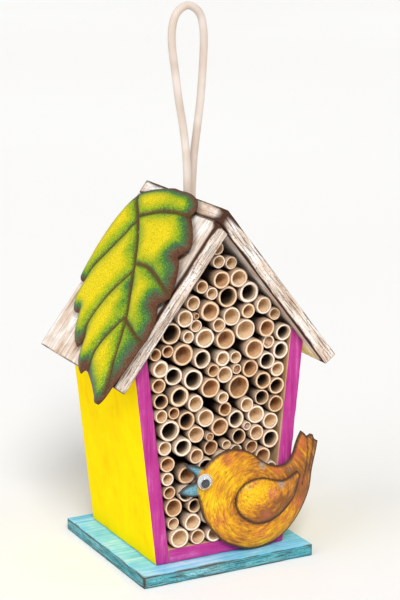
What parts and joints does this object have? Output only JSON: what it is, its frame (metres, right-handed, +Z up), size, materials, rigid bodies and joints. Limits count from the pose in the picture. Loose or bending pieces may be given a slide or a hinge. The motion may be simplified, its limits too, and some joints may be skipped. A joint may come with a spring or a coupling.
{
  "type": "insect hotel",
  "caption": "Gabled wooden insect hotel on a base board, filled with cut canes, with a sheet metal leaf and bird and a cord loop to hang it by.",
  "frame": {"origin": "middle of the base board's underside", "axes": "+Z up, the open front with the cane mouths faces -Y, +X to the right as seen from the front"},
  "size_m": [0.1658, 0.1225, 0.352],
  "materials": {
    "blue_paint": "brushed blue paint, edges rubbed dark",
    "yellow_paint": "satin yellow paint",
    "magenta_paint": "brushed magenta paint",
    "whitewashed_wood": "whitewash over dark stained wood, edges rubbed",
    "cane": "cut reed cane, pale ends",
    "leaf_enamel": "airbrushed yellow, green and brown lacquer",
    "bird_enamel": "brushed orange and yellow lacquer",
    "steel": "zinc plated",
    "glue": "set hot glue",
    "cord": "braided cotton",
    "white_plastic": "gloss",
    "clear_plastic": "clear moulded plastic",
    "black_plastic": "satin"
  },
  "bodies": {
    "house": {"back_panel": "yellow_paint", "base_board": "blue_paint", "base_screw_1": "steel", "base_screw_2": "steel", "bird_body": "bird_enamel", "bird_glue_1": "glue", "bird_glue_2": "glue", "bird_wing": "bird_enamel", "cane_bundle_01": "cane", "cane_bundle_02": "cane", "cane_bundle_03": "cane", "cane_bundle_04": "cane", "cane_bundle_05": "cane", "cane_bundle_06": "cane", "cane_bundle_07": "cane", "cane_bundle_08": "cane", "cane_bundle_09": "cane", "cane_bundle_10": "cane", "cane_bundle_11": "cane", "cane_bundle_12": "cane", "cane_bundle_13": "cane", "cane_bundle_14": "cane", "cane_bundle_15": "cane", "cane_bundle_16": "cane", "cane_bundle_17": "cane", "cane_bundle_18": "cane", "cane_bundle_19": "cane", "cane_bundle_20": "cane", "cane_bundle_21": "cane", "cane_bundle_22": "cane", "cane_bundle_23": "cane", "cane_bundle_24": "cane", "cane_bundle_25": "cane", "cane_bundle_26": "cane", "cane_bundle_27": "cane", "cane_bundle_28": "cane", "cane_bundle_29": "cane", "cane_bundle_30": "cane", "cane_bundle_31": "cane", "cane_bundle_32": "cane", "cane_bundle_33": "cane", "cane_bundle_34": "cane", "cane_bundle_35": "cane", "cord_knot": "cord", "cord_loop": "cord", "eye_back": "white_plastic", "eye_dome": "clear_plastic", "floor_board": "magenta_paint", "leaf": "leaf_enamel", "leaf_glue_1": "glue", "leaf_glue_2": "glue", "roof_board_left": "whitewashed_wood", "roof_board_right": "whitewashed_wood", "roof_nail_left_front": "steel", "roof_nail_left_rear": "steel", "roof_nail_right_front": "steel", "roof_nail_right_rear": "steel", "side_wall_left": "yellow_paint", "side_wall_right": "yellow_paint"},
    "pupil": {"eye_pupil": "black_plastic"}
  },
  "joints": [
    {"name": "pupil_swing", "type": "hinge", "parent": "house", "child": "pupil", "pos_m": [-0.0156, -0.05413, 0.0615], "axis": [0, -1, 0], "continuous": true}
  ]
}
